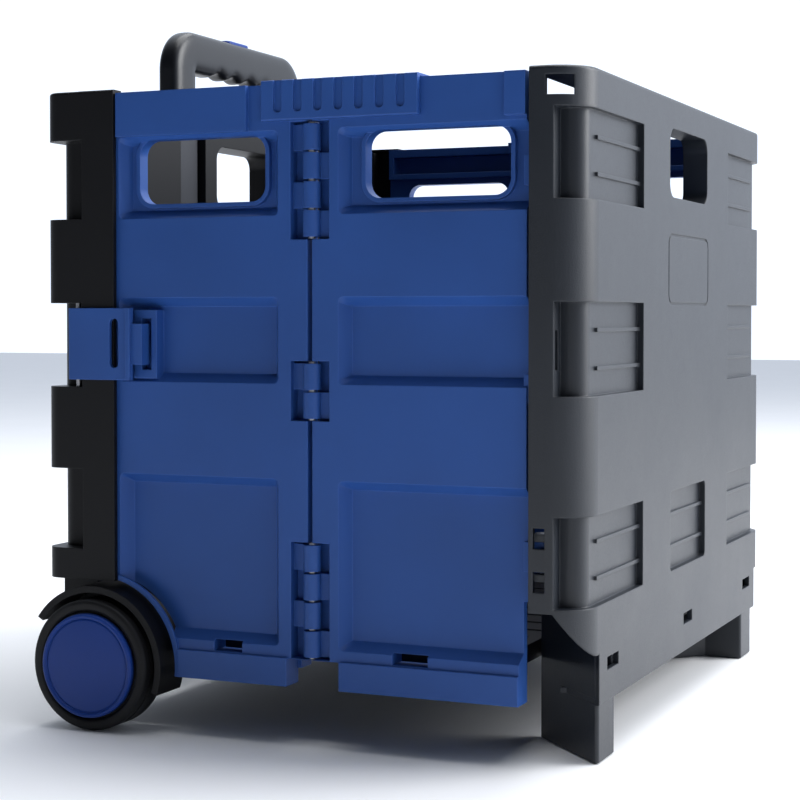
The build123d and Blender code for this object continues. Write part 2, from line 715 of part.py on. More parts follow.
with BuildPart() as wheel_hub:
    with BuildSketch(side_plane(wheel_in + 1)):
        with Locations((wheel_x, wheel_r)):
            Circle(hub_r)
            Circle(axle_r + axle_gap, mode=Mode.SUBTRACT)
    extrude(amount=hub_out - wheel_in - 1)
    with BuildSketch(side_plane(wheel_in + 1)):
        with Locations((wheel_x, wheel_r)):
            Circle(hub_r - 3)
            Circle(hub_boss_r, mode=Mode.SUBTRACT)
            with PolarLocations(0, spokes):
                with Locations(((hub_r + 9.0) / 2, 0)):
                    Rectangle(hub_r - 9.0, spoke_wide, mode=Mode.SUBTRACT)
    extrude(amount=hub_out - wheel_in - 5, mode=Mode.SUBTRACT)
    with BuildSketch(side_plane(hub_out)):
        with Locations((wheel_x, wheel_r)):
            Circle(10)
    extrude(amount=-7, mode=Mode.SUBTRACT)
both_sides(wheel_hub.part, "wheel_hub")

with BuildPart() as wheel_cap:
    with BuildSketch(side_plane(hub_out)):
        with Locations((wheel_x, wheel_r)):
            Circle(cap_r)
    extrude(amount=cap_out - hub_out)
    fillet(wheel_cap.faces().sort_by(Axis.Y)[0].edges(), 2.2)
    with BuildSketch(side_plane(hub_out)):
        with Locations((wheel_x, wheel_r)):
            Circle(12)
    extrude(amount=2.5, mode=Mode.SUBTRACT)
both_sides(wheel_cap.part, "wheel_cap")

with BuildPart() as axle:
    with BuildSketch(side_plane(clip_y + 3)):
        with Locations((wheel_x, wheel_r)):
            Circle(axle_r)
    extrude(amount=-2 * (clip_y + 3))
save(axle.part, "axle")

with BuildPart() as axle_washers:
    for sign in (-1, 1):
        with BuildSketch(side_plane(sign * (web_in + web_thick + 0.4))):
            with Locations((wheel_x, wheel_r)):
                Circle(9)
                Circle(axle_r + 0.1, mode=Mode.SUBTRACT)
        extrude(amount=sign * (wheel_in + 1 - web_in - web_thick - 0.8))
save(axle_washers.part, "axle_washers")

with BuildPart() as axle_clips:
    for sign in (-1, 1):
        with BuildSketch(side_plane(sign * clip_y)):
            with Locations((wheel_x, wheel_r)):
                Circle(8)
                Circle(axle_r, mode=Mode.SUBTRACT)
        extrude(amount=sign * 1.2)
save(axle_clips.part, "axle_clips")

with BuildPart() as mudguard:
    with BuildSketch(side_plane(guard_out)):
        with Locations((wheel_x, wheel_r)):
            Circle(guard_r + guard_thick)
            Circle(guard_r, mode=Mode.SUBTRACT)
    extrude(amount=web_in - guard_out)
    with BuildSketch(side_plane(web_in)):
        with Locations((wheel_x, wheel_r)):
            Circle(guard_r + 0.5)
            Circle(axle_r + 0.1, mode=Mode.SUBTRACT)
    extrude(amount=web_thick)
    # open underneath and behind: the arch ends in a point at the tail
    with BuildSketch(side_plane(guard_out + 5)):
        with BuildLine():
            Polyline((-front_x, wheel_r + 26), (wheel_x, wheel_r + 2), (wheel_x + 60, wheel_r - 22),
                     (wheel_x + 60, wheel_r - 60), (-front_x - 30, wheel_r - 60),
                     (-front_x - 30, wheel_r + 60), (-front_x, wheel_r + 60), close=True)
        make_face()
        with Locations((wheel_x, wheel_r)):
            Circle(14, mode=Mode.SUBTRACT)
    extrude(amount=-60, mode=Mode.SUBTRACT)
both_sides(mudguard.part, "mudguard")

# ================================================================ front feet
with BuildPart() as front_foot:
    face_x = front_x - foot_setback
    with BuildSketch(Plane.XY):
        with BuildLine():
            Polyline((face_x, -foot_out + foot_setback), (face_x, -foot_in),
                     (front_x - foot_deep, -foot_in),
                     (front_x - foot_reach, -foot_out + foot_reach + foot_wall),
                     (front_x - foot_reach, -foot_out + foot_reach), close=True)
        make_face()
    extrude(amount=panel_bottom)
    fillet(front_foot.edges().filter_by(Axis.Z).sort_by(Axis.X)[-2:], 1.6)
    fillet(front_foot.faces().sort_by(Axis.Z)[0].edges(), 1.0)
    wall_face = front_x - skin
    with BuildSketch(Plane.XY.offset(panel_bottom + skin)):
        with BuildLine():
            Polyline((wall_face, -foot_out + skin), (front_x - foot_reach, -foot_out + foot_reach),
                     (front_x - foot_reach, -foot_out + foot_reach + foot_wall - 1.8),
                     (wall_face, -foot_out + skin + foot_wall - 1.8), close=True)
        make_face()
    extrude(amount=foot_wall_top - panel_bottom - skin)
    # behind the panel the slanting wall joins the foot to its upper part
    back_x = front_in - 0.3
    with BuildSketch(Plane.XY.offset(panel_bottom - 1)):
        with BuildLine():
            Polyline((back_x, front_x - back_x - foot_out),
                     (back_x, front_x - back_x - foot_out + foot_wall),
                     (front_x - foot_reach, -foot_out + foot_reach + foot_wall),
                     (front_x - foot_reach, -foot_out + foot_reach), close=True)
        make_face()
    extrude(amount=floor_top - floor_thick - 0.6 - panel_bottom + 1)
    # stem through the panel's floor joins the foot to its upper wall
    with BuildSketch(Plane.XY.offset(panel_bottom - 1)):
        rect(stem_x, (-stem_y[0], -stem_y[1]))
    extrude(amount=skin + 12)
both_sides(front_foot.part, "front_foot")

# ================================================================ handle
def tube(centre_y, low, high, wide, deep, name):
    """One rectangular handle tube, open at both ends."""
    with BuildPart() as body:
        with BuildSketch(Plane.XY.offset(low)):
            with Locations((leg_x, centre_y)):
                RectangleRounded(deep, wide, 3.0)
                RectangleRounded(deep - 2 * tube_wall, wide - 2 * tube_wall, 3.0 - tube_wall,
                                 mode=Mode.SUBTRACT)
        extrude(amount=high - low)
    save(body.part, name)


step_down = 2 * (tube_wall + tube_gap)
middle_low = outer_low + 4.0
middle_high = outer_high + 1.0
inner_low = middle_low + 4.0
inner_high = grip_low + 24.0
middle_size = (leg_wide - step_down, leg_deep - step_down)
inner_size = (middle_size[0] - step_down, middle_size[1] - step_down)

for side, sign in SIDES:
    tube(sign * leg_y, outer_low, outer_high, leg_wide, leg_deep, f"outer_tube_{side}")
    tube(sign * leg_y, middle_low, middle_high, *middle_size, f"middle_tube_{side}")
    tube(sign * leg_y, inner_low, inner_high, *inner_size, f"inner_tube_{side}")
    with BuildPart() as tube_collar:
        with BuildSketch(Plane.XY.offset(middle_high)):
            with Locations((leg_x, sign * leg_y)):
                RectangleRounded(leg_deep, leg_wide, 3.0)
                RectangleRounded(inner_size[1] + 2 * tube_gap, inner_size[0] + 2 * tube_gap, 1.0,
                                 mode=Mode.SUBTRACT)
        extrude(amount=collar_high)
        fillet(tube_collar.faces().sort_by(Axis.Z)[-1].outer_wire().edges(), 0.8)
    save(tube_collar.part, f"tube_collar_{side}")

plunger_z = inner_low + 12.0
with BuildPart() as tube_plungers:
    for sign in (-1, 1):
        block((leg_x - inner_size[1] / 2 + tube_wall, leg_x + inner_size[1] / 2 - tube_wall),
              (sign * leg_y - 6, sign * leg_y + 6), (plunger_z - 6, plunger_z + 6))
save(tube_plungers.part, "tube_plungers")

strap_rows = [panel_bottom + 48.0, mid_z - 20.0, crate_top - 92.0]
with BuildPart() as tube_straps:
    for sign in (-1, 1):
        for row in strap_rows:
            block((leg_x + leg_deep / 2 + 0.1, rear_in), (sign * channel[0], sign * channel[1]),
                  (row - 8, row + 8))
save(tube_straps.part, "tube_straps")

grip_half = leg_y + leg_wide / 2 + 0.5
gap_half = leg_y - leg_wide / 2 - 0.5
gap_top = grip_high - grip_bar

with BuildPart() as handle_grip:
    with BuildSketch(end_plane(leg_x - leg_deep / 2)):
        rect((-grip_half, grip_half), (grip_low - 40, grip_high), grip_r)
        rect((-grip_half - 5, grip_half + 5), (grip_low - 60, grip_low), mode=Mode.SUBTRACT)
        rect((-gap_half, gap_half), (grip_low - 40, gap_top), 12, mode=Mode.SUBTRACT)
        # finger waves under the bar
        for index in range(finger_waves):
            with Locations(((index - (finger_waves - 1) / 2) * wave_pitch, gap_top - wave_drop)):
                Circle(wave_r, mode=Mode.SUBTRACT)
    extrude(amount=leg_deep)
    rounded = handle_grip.edges().filter_by(
        lambda e: e.center().Z > grip_low + 0.5 and abs(e.center().X - leg_x) > leg_deep / 2 - 0.1)
    fillet(rounded, 4.6)
    for sign in (-1, 1):
        with BuildSketch(Plane.XY.offset(grip_low)):
            with Locations((leg_x, sign * leg_y)):
                RectangleRounded(inner_size[1], inner_size[0], 1.5)
        extrude(amount=inner_high - grip_low, mode=Mode.SUBTRACT)
    with BuildSketch(Plane.XY.offset(grip_high - 13)):
        with Locations((leg_x, 0)):
            RectangleRounded(button_wide + 0.8, button_long + 0.8, 4.2)
    extrude(amount=20, mode=Mode.SUBTRACT)
save(handle_grip.part, "handle_grip")

with BuildPart() as handle_button:
    with BuildSketch(Plane.XY.offset(grip_high - 7)):
        with Locations((leg_x, 0)):
            RectangleRounded(button_wide, button_long, 4.0)
    extrude(amount=8.5)
    fillet(handle_button.faces().sort_by(Axis.Z)[-1].edges(), 1.2)
save(handle_button.part, "handle_button")

spring_low = grip_high - 12.9
with BuildPart() as button_spring:
    with BuildSketch(Plane.XY.offset(spring_low)):
        with Locations((leg_x, 0)):
            Circle(3.0)
            Circle(2.0, mode=Mode.SUBTRACT)
    extrude(amount=grip_high - 7.1 - spring_low)
save(button_spring.part, "button_spring")

# ================================================================ floor
floor_back = floor_axis_x + 6.5
floor_low = floor_top - floor_thick
with BuildPart() as floor_panel:
    block((floor_back, floor_front), (-floor_half, floor_half), (floor_low, floor_top))
    fillet(floor_panel.edges().filter_by(Axis.Z), 4.0)
    # ribbed underside
    bay_x = (floor_front - floor_back - floor_skin) / floor_columns
    bay_y = (2 * floor_half - floor_skin) / floor_rows
    for column in range(floor_columns):
        for row in range(floor_rows):
            near = floor_back + floor_skin + column * bay_x
            side = -floor_half + floor_skin + row * bay_y
            block((near, near + bay_x - floor_skin), (side, side + bay_y - floor_skin),
                  (floor_low - 1, floor_top - floor_skin), Mode.SUBTRACT)
    # front corners notched round the feet's slanting walls
    for sign in (-1, 1):
        block((notch_x - floor_skin, notch_x + 1), (sign * notch_y, sign * (floor_half - 0.5)),
              (floor_low, floor_top - 0.5))
        block((notch_x - floor_skin, floor_front - 0.5),
              (sign * (notch_y - floor_skin), sign * (notch_y + 1)), (floor_low, floor_top - 0.5))
        block((notch_x, floor_front + 5), (sign * notch_y, sign * (floor_half + 5)),
              (floor_low - 5, floor_top + 5), Mode.SUBTRACT)
    for sign in (-1, 1):
        near, far = sign * (ear_y[0] + 0.4), sign * (ear_y[1] - 0.4)
        with BuildSketch(side_plane(-max(near, far))):
            with Locations((floor_axis_x, floor_axis_z)):
                Circle(4.8)
            rect((floor_axis_x, floor_back + 3), (floor_axis_z - 4.8, floor_top))
            with Locations((floor_axis_x, floor_axis_z)):
                Circle(pin_r + pin_gap, mode=Mode.SUBTRACT)
        extrude(amount=abs(far - near))
    # raised bars on the top
    reach = int((floor_half - 20) / bar_pitch)
    for bar in range(-reach, reach + 1):
        block((floor_back + 20, notch_x - 8),
              (bar * bar_pitch - bar_half, bar * bar_pitch + bar_half),
              (floor_top - 0.5, floor_top + bar_proud))
save(floor_panel.part, "floor_panel")

with BuildPart() as floor_hinge_pins:
    for sign in (-1, 1):
        near, far = sign * (ear_y[0] - ear_thick), sign * (ear_y[1] + ear_thick)
        with BuildSketch(side_plane(-max(near, far))):
            with Locations((floor_axis_x, floor_axis_z)):
                Circle(pin_r)
        extrude(amount=abs(far - near))
save(floor_hinge_pins.part, "floor_hinge_pins")

# ================================================================ screws
with BuildPart() as strap_screws:
    for sign in (-1, 1):
        for row in strap_rows:
            with BuildSketch(end_plane(rear_in)):
                with Locations((sign * leg_y, row)):
                    Circle(3.6)
            extrude(amount=1.8)
            with BuildSketch(end_plane(rear_in + 0.6)):
                with Locations((sign * leg_y, row)):
                    Rectangle(4.4, 1.0)
                    Rectangle(1.0, 4.4)
            extrude(amount=4, mode=Mode.SUBTRACT)
save(strap_screws.part, "strap_screws")
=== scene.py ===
"""Looks for the folding crate cart: finishes, detailed pieces, stage, lights and camera.

Everything is in metres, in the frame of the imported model. The CAD nodes keep their shape and get
procedural finishes; the grip, tyres, wheel caps and button spring are rebuilt as smooth surfaces.
"""

import json
import logging
from dataclasses import dataclass
from enum import Enum
from math import pi, radians
from typing import Any

import bmesh
import bpy
import numpy as np
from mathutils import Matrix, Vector


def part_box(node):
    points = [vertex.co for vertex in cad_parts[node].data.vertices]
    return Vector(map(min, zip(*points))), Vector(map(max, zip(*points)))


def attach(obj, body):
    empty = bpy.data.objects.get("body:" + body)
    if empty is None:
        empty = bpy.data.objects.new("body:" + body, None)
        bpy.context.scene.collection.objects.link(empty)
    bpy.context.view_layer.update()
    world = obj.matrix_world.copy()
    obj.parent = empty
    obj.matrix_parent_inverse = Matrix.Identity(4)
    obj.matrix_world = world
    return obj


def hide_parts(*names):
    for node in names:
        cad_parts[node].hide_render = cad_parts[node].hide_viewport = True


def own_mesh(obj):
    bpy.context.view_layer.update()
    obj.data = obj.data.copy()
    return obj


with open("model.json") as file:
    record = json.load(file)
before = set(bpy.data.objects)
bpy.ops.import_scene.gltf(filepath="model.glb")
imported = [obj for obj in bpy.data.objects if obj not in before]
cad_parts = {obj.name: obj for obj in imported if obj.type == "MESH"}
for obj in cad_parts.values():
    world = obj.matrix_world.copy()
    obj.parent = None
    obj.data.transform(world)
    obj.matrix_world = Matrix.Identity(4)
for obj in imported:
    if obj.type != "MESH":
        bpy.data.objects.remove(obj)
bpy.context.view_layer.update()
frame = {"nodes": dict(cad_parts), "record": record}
LOG = logging.getLogger("crate_cart")
MM = 0.001


class Side(Enum):
    """The two sides of the cart, with the sign of Y on each."""

    RIGHT = -1
    LEFT = 1

    @property
    def word(self) -> str:
        """The side's name as used in node and body names."""
        return self.name.lower()


class Grain(Enum):
    """The surface texture a moulding tool leaves."""

    SPARK = "spark"
    LEATHER = "leather"
    BRUSHED = "brushed"
    SMOOTH = "smooth"


# ------------------------------------------------------------------ shader maths
class Value:
    """A numeric socket that takes part in Python expressions, adding Math nodes."""

    def __init__(self, graph: "Graph", socket: Any) -> None:
        """Wraps a socket of a graph."""
        self.graph, self.socket = graph, socket

    def _math(self, operation: str, first: Any, second: Any) -> "Value":
        """One Math node of two inputs."""
        return self.graph.value("ShaderNodeMath", {"operation": operation}, {0: first, 1: second})

    def __add__(self, other: Any) -> "Value":
        """self + other."""
        return self._math("ADD", self, other)

    def __radd__(self, other: Any) -> "Value":
        """other + self."""
        return self._math("ADD", other, self)

    def __sub__(self, other: Any) -> "Value":
        """self - other."""
        return self._math("SUBTRACT", self, other)

    def __rsub__(self, other: Any) -> "Value":
        """other - self."""
        return self._math("SUBTRACT", other, self)

    def __mul__(self, other: Any) -> "Value":
        """self * other."""
        return self._math("MULTIPLY", self, other)

    def __rmul__(self, other: Any) -> "Value":
        """other * self."""
        return self._math("MULTIPLY", other, self)

    def clamped(self) -> "Value":
        """The value held between 0 and 1."""
        settings = {"operation": "ADD", "use_clamp": True}
        return self.graph.value("ShaderNodeMath", settings, {0: self, 1: 0.0})


class Graph:
    """The node tree of a material or of the surround, built through one method."""

    def __init__(self, owner: Any) -> None:
        """Clears the nodes of a material or world and keeps its tree."""
        self.owner = owner
        owner.use_nodes = True
        self.tree = owner.node_tree
        self.tree.nodes.clear()

    def node(self, kind: str, settings: dict[str, Any] | None = None,
             inputs: dict[Any, Any] | None = None) -> Any:
        """Adds a node, sets its settings first and then its inputs.

        Args:
            kind: the node's type.
            settings: attributes of the node.
            inputs: values, sockets or Values by input name or number.

        Returns:
            The node.
        """
        made = self.tree.nodes.new(kind)
        for key, setting in (settings or {}).items():
            setattr(made, key, setting)
        for key, given in (inputs or {}).items():
            target = made.inputs[key]
            source = given.socket if isinstance(given, Value) else given
            if isinstance(source, bpy.types.NodeSocket):
                self.tree.links.new(source, target)
            else:
                target.default_value = source
        return made

    def value(self, kind: str, settings: dict[str, Any] | None = None,
              inputs: dict[Any, Any] | None = None, output: Any = 0) -> Value:
        """Adds a node and returns one of its outputs as a Value."""
        return Value(self, self.node(kind, settings, inputs).outputs[output])

    def mix(self, factor: Any, first: Any, second: Any) -> Any:
        """A colour between two colours, by a factor; returns the colour socket."""
        made = self.node("ShaderNodeMix", {"data_type": "RGBA"}, {0: factor, 6: first, 7: second})
        return made.outputs[2]


@dataclass(frozen=True)
class Finish:
    """One moulded or metal finish: colour, gloss, grain, and edges paled by wear and by a painted highlight.
    """

    slot: str
    colour: tuple[float, float, float]
    rough: float = 0.5
    metal: float = 0.0
    coat: float = 0.0
    specular: float = 0.5
    grain: Grain = Grain.SPARK
    grain_size: float = 0.7
    grain_depth: float = 0.03
    edge_round: float = 0.6
    # Share of the paler edge colour: a painted edge highlight, with some wear.
    edge_wear_and_highlight: float = 0.35
    drift: float = 0.10
    slow_scale: float = 11.0
    scuff_scale: float = 75.0
    edge_gain: float = 5.0
    rough_spread: tuple[float, float, float] = (0.12, 0.10, 0.06)
    # The paler edge colour, for painted edge highlight and wear, is made from the finish's colour.
    wear_and_highlight_gain: float = 1.8
    wear_and_highlight_lift: float = 0.03
    leather_mix: tuple[float, float] = (0.7, 0.5)
    leather_fine: float = 2.6

    def _height(self, graph: Graph, place: Any) -> Value:
        """The grain's height, about 0 to 1.

        Args:
            graph: the material's nodes.
            place: the socket of the point, in metres.

        Returns:
            The height as a Value.
        """
        scale = 1.0 / (self.grain_size * MM)
        if self.grain is Grain.LEATHER:
            cells = graph.value("ShaderNodeTexVoronoi", {"feature": "SMOOTH_F1"},
                                {"Vector": place, "Scale": scale, "Smoothness": 0.6})
            fine = graph.value("ShaderNodeTexNoise", {}, {
                "Vector": place, "Scale": scale * self.leather_fine, "Detail": 3.0})
            return cells * self.leather_mix[0] + fine * self.leather_mix[1]
        if self.grain is Grain.BRUSHED:
            drawn = graph.node("ShaderNodeMapping", {}, {"Vector": place, "Scale": (1.0, 1.0, 0.06)})
            return graph.value("ShaderNodeTexNoise", {}, {"Vector": drawn.outputs[0],
                                                          "Scale": scale, "Detail": 4.0})
        detail = 2.0 if self.grain is Grain.SMOOTH else 5.0
        return graph.value("ShaderNodeTexNoise", {}, {"Vector": place, "Scale": scale,
                                                      "Detail": detail, "Roughness": 0.6})

    def build(self) -> Any:
        """Makes the material.

        The colour drifts slowly over the part and lightens where edges turn, a painted edge highlight mixed
        with scuffed wear, found by comparing the rounded normal with the flat one; the grain feeds a bump and
        a little roughness.

        Returns:
            The Blender material.
        """
        graph = Graph(bpy.data.materials.new(f"finish_{self.slot}"))
        place = graph.node("ShaderNodeTexCoord").outputs["Object"]
        height = self._height(graph, place)
        slow = graph.value("ShaderNodeTexNoise", {}, {"Vector": place, "Detail": 3.0,
                                                      "Scale": self.slow_scale})
        scuff = graph.value("ShaderNodeTexNoise", {}, {"Vector": place, "Detail": 6.0, "Roughness": 0.7,
                                                       "Scale": self.scuff_scale})
        rounded = graph.node("ShaderNodeBevel", {"samples": 4}, {"Radius": self.edge_round * MM})
        flat = graph.node("ShaderNodeNewGeometry")
        agree = graph.value("ShaderNodeVectorMath", {"operation": "DOT_PRODUCT"},
                            {0: rounded.outputs[0], 1: flat.outputs["Normal"]}, output="Value")
        # Edge mask for a painted highlight on every turned edge, broken up by scuff noise as wear.
        wear_and_highlight_mask = ((1.0 - agree) * self.edge_gain * (scuff * 1.2 + 0.2)).clamped()
        dark = tuple(c * (1.0 - self.drift) for c in self.colour) + (1.0,)
        pale = tuple(min(1.0, c * (1.0 + self.drift)) for c in self.colour) + (1.0,)
        # The paler colour of the edges: a painted highlight, with wear.
        wear_and_highlight_colour = tuple(min(1.0, c * self.wear_and_highlight_gain + self.wear_and_highlight_lift) for c in self.colour) + (1.0,)
        base = graph.mix(((slow - 0.35) * 3.0).clamped(), dark, pale)
        base = graph.mix(wear_and_highlight_mask * self.edge_wear_and_highlight, base, wear_and_highlight_colour)
        broad, grainy, scuffed = self.rough_spread
        rough = (self.rough + (slow - 0.5) * broad + (height - 0.5) * grainy
                 + (scuff - 0.5) * scuffed).clamped()
        bump = graph.node("ShaderNodeBump", {}, {"Height": height, "Strength": 1.0,
                                                 "Distance": self.grain_depth * MM,
                                                 "Normal": rounded.outputs[0]})
        shader = graph.node("ShaderNodeBsdfPrincipled", {}, {
            "Base Color": base, "Roughness": rough, "Metallic": self.metal,
            "Specular IOR Level": self.specular, "Coat Weight": self.coat,
            "Coat Roughness": 0.25, "Normal": bump.outputs[0]})
        graph.node("ShaderNodeOutputMaterial", {}, {"Surface": shader.outputs[0]})
        return graph.owner


# Each finish pales its turned edges by a share, as painted highlight and wear.
FINISHES = (
    Finish("blue_plastic", (0.024, 0.086, 0.320), rough=0.46, specular=0.32,
           grain=Grain.SPARK, grain_size=0.55, grain_depth=0.018,
           edge_round=0.9, edge_wear_and_highlight=0.55, drift=0.08),
    Finish("blue_gloss", (0.012, 0.050, 0.270), rough=0.38, specular=0.25, grain=Grain.SMOOTH, grain_size=1.5,
           grain_depth=0.01, edge_round=0.5, edge_wear_and_highlight=0.3, drift=0.06),
    Finish("grey_plastic", (0.008, 0.0115, 0.018), rough=0.42, specular=0.60,
           grain=Grain.LEATHER, grain_size=0.85, grain_depth=0.06,
           edge_round=1.1, edge_wear_and_highlight=0.5, drift=0.12),
    Finish("black_plastic", (0.006, 0.006, 0.007), rough=0.46, specular=0.22,
           grain=Grain.SPARK, grain_size=0.6, grain_depth=0.03,
           edge_round=0.9, edge_wear_and_highlight=0.35, drift=0.12),
    Finish("tyre_black", (0.006, 0.006, 0.007), rough=0.55, specular=0.3, grain=Grain.SPARK, grain_size=0.5,
           grain_depth=0.04, edge_round=0.6, edge_wear_and_highlight=0.2, drift=0.15),
    Finish("grip_grey", (0.007, 0.008, 0.011), rough=0.36, coat=0.10, specular=0.40, grain=Grain.SMOOTH,
           grain_size=1.2, grain_depth=0.012, edge_round=0.6, edge_wear_and_highlight=0.25),
    Finish("tube_metal", (0.035, 0.037, 0.044), rough=0.40, metal=0.4, grain=Grain.BRUSHED,
           grain_size=0.6, grain_depth=0.01, edge_wear_and_highlight=0.3),
    Finish("steel", (0.42, 0.42, 0.43), rough=0.35, metal=1.0, grain=Grain.BRUSHED,
           grain_size=0.5, grain_depth=0.01, edge_wear_and_highlight=0.2, drift=0.05),
)


class Wardrobe:
    """Builds each finish once and dresses nodes and pieces in it."""

    def __init__(self) -> None:
        """Builds every finish."""
        self.materials = {finish.slot: finish.build() for finish in FINISHES}
        self.slots = {row["node"]: row["material_slot"] for row in frame["record"]["subparts"]}

    def dress_nodes(self) -> None:
        """Gives every CAD node the finish of its slot."""
        for name, node in frame["nodes"].items():
            node.data.materials.clear()
            node.data.materials.append(self.materials[self.slots[name]])

    def dress(self, piece: Any, slot: str) -> None:
        """Gives a new piece the finish of a slot."""
        piece.data.materials.clear()
        piece.data.materials.append(self.materials[slot])


# ------------------------------------------------------------------ surfaces
def lattice(name: str, points: np.ndarray, wrap_u: bool, wrap_v: bool, caps: bool = False) -> Any:
    """A smooth mesh from a grid of points.

    Args:
        name: the object's name.
        points: array of shape (u, v, 3), in metres.
        wrap_u: whether the last row joins the first.
        wrap_v: whether the last column joins the first.
        caps: whether the first and last rows are closed by one face each.

    Returns:
        The new object, at the origin, with its faces turned outwards.
    """
    rows, columns = points.shape[:2]
    u = np.arange(rows if wrap_u else rows - 1)[:, None]
    v = np.arange(columns if wrap_v else columns - 1)[None, :]
    after_u, after_v = (u + 1) % rows, (v + 1) % columns
    corners = [u * columns + v, after_u * columns + v, after_u * columns + after_v, u * columns + after_v]
    faces = np.stack([np.broadcast_to(c, (u.size, v.size)) for c in corners], axis=-1).reshape(-1, 4)
    polygons = faces.tolist()
    if caps:
        polygons.append(list(range(columns))[::-1])
        polygons.append(list(range((rows - 1) * columns, rows * columns)))
    mesh = bpy.data.meshes.new(name)
    mesh.from_pydata(points.reshape(-1, 3).tolist(), [], polygons)
    mesh.update()
    piece = bpy.data.objects.new(name, mesh)
    bpy.context.scene.collection.objects.link(piece)
    turn_outwards(piece)
    return piece


def turn_outwards(piece: Any) -> None:
    """Merges doubles, turns every face outwards and shades the piece smooth."""
    work = bmesh.new()
    work.from_mesh(piece.data)
    bmesh.ops.remove_doubles(work, verts=work.verts, dist=1e-7)
    bmesh.ops.recalc_face_normals(work, faces=work.faces)
    work.to_mesh(piece.data)
    work.free()
    piece.data.polygons.foreach_set("use_smooth", np.ones(len(piece.data.polygons), dtype=bool))
    piece.data.update()


def turned(name: str, profile: np.ndarray, centre: tuple[float, float, float], steps: int = 128) -> Any:
    """A closed profile of (radius, y) points turned about an axis along Y.

    Each point (r, y) goes to (cx + r cos a, cy + y, cz + r sin a) for a full turn of a.

    Args:
        name: the object's name.
        profile: array of shape (n, 2), radius and distance along Y, in metres.
        centre: the point (cx, cy, cz) that the profile is measured from.
        steps: how many copies of the profile make the turn.

    Returns:
        The new object.
    """
    angle = np.linspace(0.0, 2.0 * pi, steps, endpoint=False)[:, None]
    radius, along = profile[:, 0][None, :], profile[:, 1][None, :]
    points = np.stack([centre[0] + radius * np.cos(angle), centre[1] + along + 0.0 * angle,
                       centre[2] + radius * np.sin(angle)], axis=-1)
    return lattice(name, points, wrap_u=True, wrap_v=True)


def rounded_outline(low: tuple[float, float], high: tuple[float, float], radius: float,
                    per_corner: int = 6) -> np.ndarray:
    """Points round a rectangle with arcs at its corners: centre plus radius times (cos a, sin a).

    Args:
        low: the rectangle's lower limits.
        high: the rectangle's upper limits.
        radius: the radius of the corners.
        per_corner: points on each arc.

    Returns:
        Array of shape (4 * per_corner, 2).
    """
    centres = [(high[0] - radius, high[1] - radius), (low[0] + radius, high[1] - radius),
               (low[0] + radius, low[1] + radius), (high[0] - radius, low[1] + radius)]
    arcs = []
    for index, centre in enumerate(centres):
        a = np.linspace(index * pi / 2, (index + 1) * pi / 2, per_corner)
        arcs.append(np.stack([centre[0] + radius * np.cos(a), centre[1] + radius * np.sin(a)], axis=-1))
    return np.concatenate(arcs)


